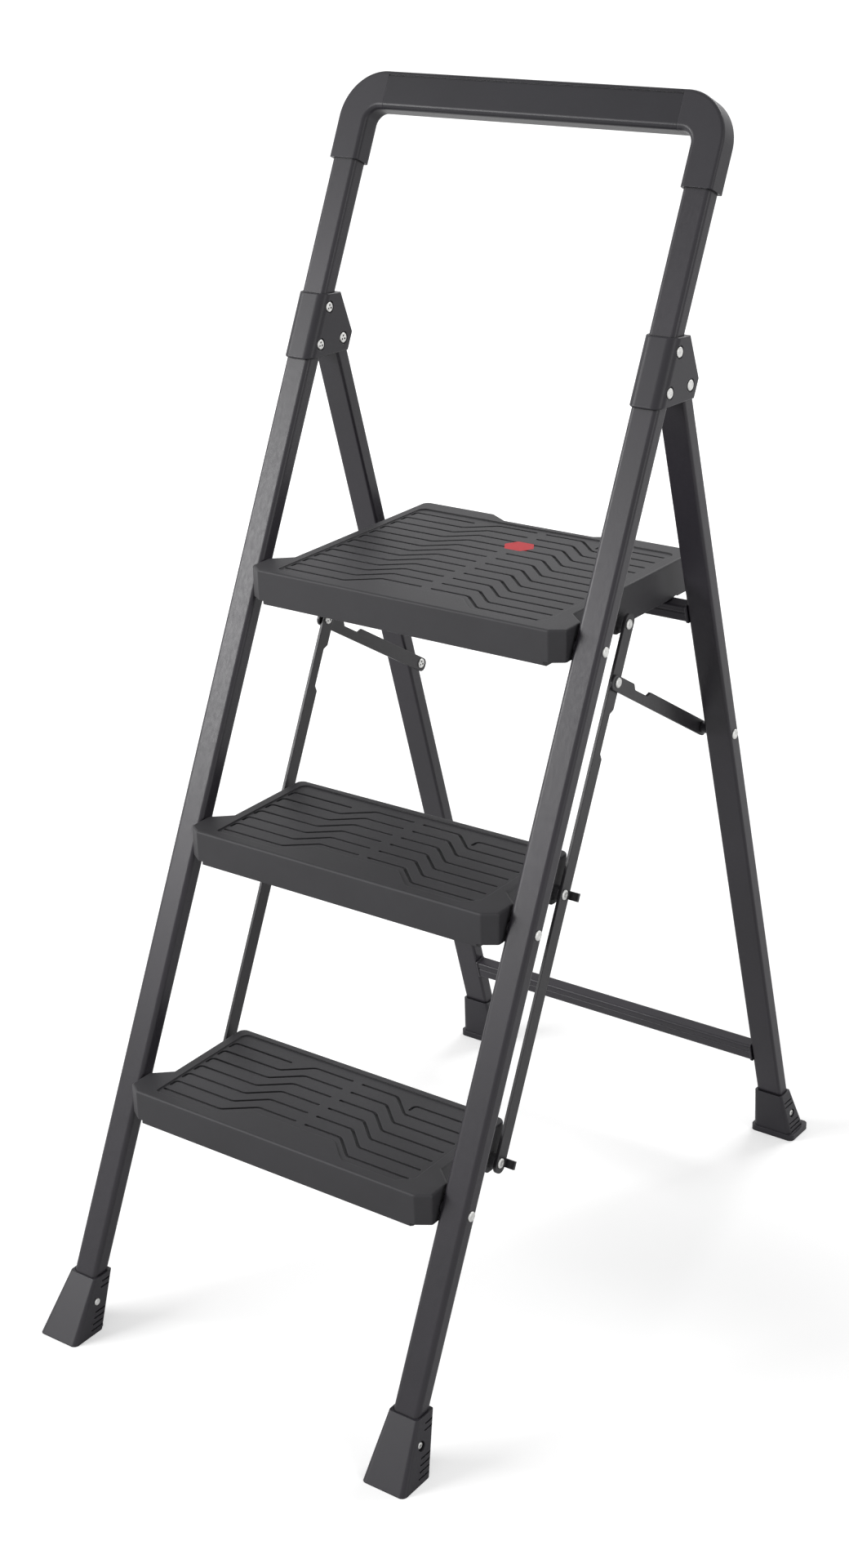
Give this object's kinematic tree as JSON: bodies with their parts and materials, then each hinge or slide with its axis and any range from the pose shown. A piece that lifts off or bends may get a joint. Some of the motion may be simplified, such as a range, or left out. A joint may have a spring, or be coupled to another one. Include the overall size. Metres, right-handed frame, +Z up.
{
  "type": "folding step stool",
  "caption": "Folding step stool with treads of growing height, a deep top platform and a tall hand rail; treads, link bars, braces and rear legs fold flat together.",
  "frame": {"origin": "on the floor, in the middle of the box round the open stool", "axes": "+X to the right of a person who climbs, +Y away from them towards the rear legs, +Z up"},
  "size_m": [0.441, 0.748, 1.126],
  "materials": {
    "powder_coated_steel": "charcoal satin powder coat",
    "tread_plastic": "fine matt texture",
    "moulded_plastic": "satin moulded",
    "grip_plastic": "soft matt",
    "red_plastic": "satin",
    "zinc_plated_steel": "bright zinc"
  },
  "bodies": {
    "front_frame": {"rail_left": "powder_coated_steel", "rail_right": "powder_coated_steel", "knuckle_left": "moulded_plastic", "knuckle_right": "moulded_plastic", "handle_elbow_left": "moulded_plastic", "handle_elbow_right": "moulded_plastic", "handle_grip": "grip_plastic", "handle_tube": "powder_coated_steel", "front_foot_left": "moulded_plastic", "front_foot_right": "moulded_plastic", "front_foot_screws": "zinc_plated_steel", "rail_rivets": "zinc_plated_steel", "rail_washers": "moulded_plastic", "knuckle_bolts": "zinc_plated_steel", "knuckle_pivot_bolts": "zinc_plated_steel"},
    "rear_frame": {"rear_leg_left": "powder_coated_steel", "rear_leg_right": "powder_coated_steel", "rear_crossbar_lower": "powder_coated_steel", "rear_crossbar_upper": "powder_coated_steel", "rear_foot_left": "moulded_plastic", "rear_foot_right": "moulded_plastic", "rear_foot_screws": "zinc_plated_steel", "brace_rear_rivets": "zinc_plated_steel", "brace_spacers": "moulded_plastic"},
    "bottom_step": {"tread_bottom": "tread_plastic"},
    "middle_step": {"tread_middle": "tread_plastic"},
    "top_step": {"platform": "tread_plastic", "platform_insert": "red_plastic"},
    "left_link": {"link_bar_left": "powder_coated_steel", "link_rivets_left": "zinc_plated_steel"},
    "right_link": {"link_bar_right": "powder_coated_steel", "link_rivets_right": "zinc_plated_steel"},
    "left_brace": {"brace_left": "powder_coated_steel", "brace_rivet_left": "zinc_plated_steel"},
    "right_brace": {"brace_right": "powder_coated_steel", "brace_rivet_right": "zinc_plated_steel"}
  },
  "joints": [
    {"name": "platform_fold", "type": "hinge", "parent": "front_frame", "child": "top_step", "pos_m": [0, -0.02421, 0.676], "axis": [1, 0, 0], "range_deg": [0, 60.5]},
    {"name": "middle_step_fold", "type": "hinge", "parent": "front_frame", "child": "middle_step", "pos_m": [0, -0.13466, 0.4465], "axis": [1, 0, 0], "range_deg": [0, 60.5]},
    {"name": "bottom_step_fold", "type": "hinge", "parent": "front_frame", "child": "bottom_step", "pos_m": [0, -0.24511, 0.217], "axis": [1, 0, 0], "range_deg": [0, 60.5]},
    {"name": "rear_frame_fold", "type": "hinge", "parent": "front_frame", "child": "rear_frame", "pos_m": [0, 0.11106, 0.88422], "axis": [-1, 0, 0], "range_deg": [0, 36.18]},
    {"name": "left_link_swing", "type": "hinge", "parent": "top_step", "child": "left_link", "pos_m": [0, 0.07799, 0.664], "axis": [-1, 0, 0], "range_deg": [0, 60.5]},
    {"name": "left_brace_swing", "type": "hinge", "parent": "rear_frame", "child": "left_brace", "pos_m": [0, 0.21044, 0.51899], "axis": [-1, 0, 0], "range_deg": [0, 33.9]},
    {"name": "right_link_swing", "type": "hinge", "parent": "top_step", "child": "right_link", "pos_m": [0, 0.07799, 0.664], "axis": [-1, 0, 0], "range_deg": [0, 60.5]},
    {"name": "right_brace_swing", "type": "hinge", "parent": "rear_frame", "child": "right_brace", "pos_m": [0, 0.21044, 0.51899], "axis": [-1, 0, 0], "range_deg": [0, 33.9]}
  ],
  "couplings": [
    {"joint": "middle_step_fold", "follows": "platform_fold", "ratio": 1},
    {"joint": "bottom_step_fold", "follows": "platform_fold", "ratio": 1},
    {"joint": "rear_frame_fold", "follows": "platform_fold", "ratio": 0.59803},
    {"joint": "left_link_swing", "follows": "platform_fold", "ratio": 1},
    {"joint": "left_brace_swing", "follows": "platform_fold", "ratio": 0.56038},
    {"joint": "right_link_swing", "follows": "platform_fold", "ratio": 1},
    {"joint": "right_brace_swing", "follows": "platform_fold", "ratio": 0.56038}
  ]
}
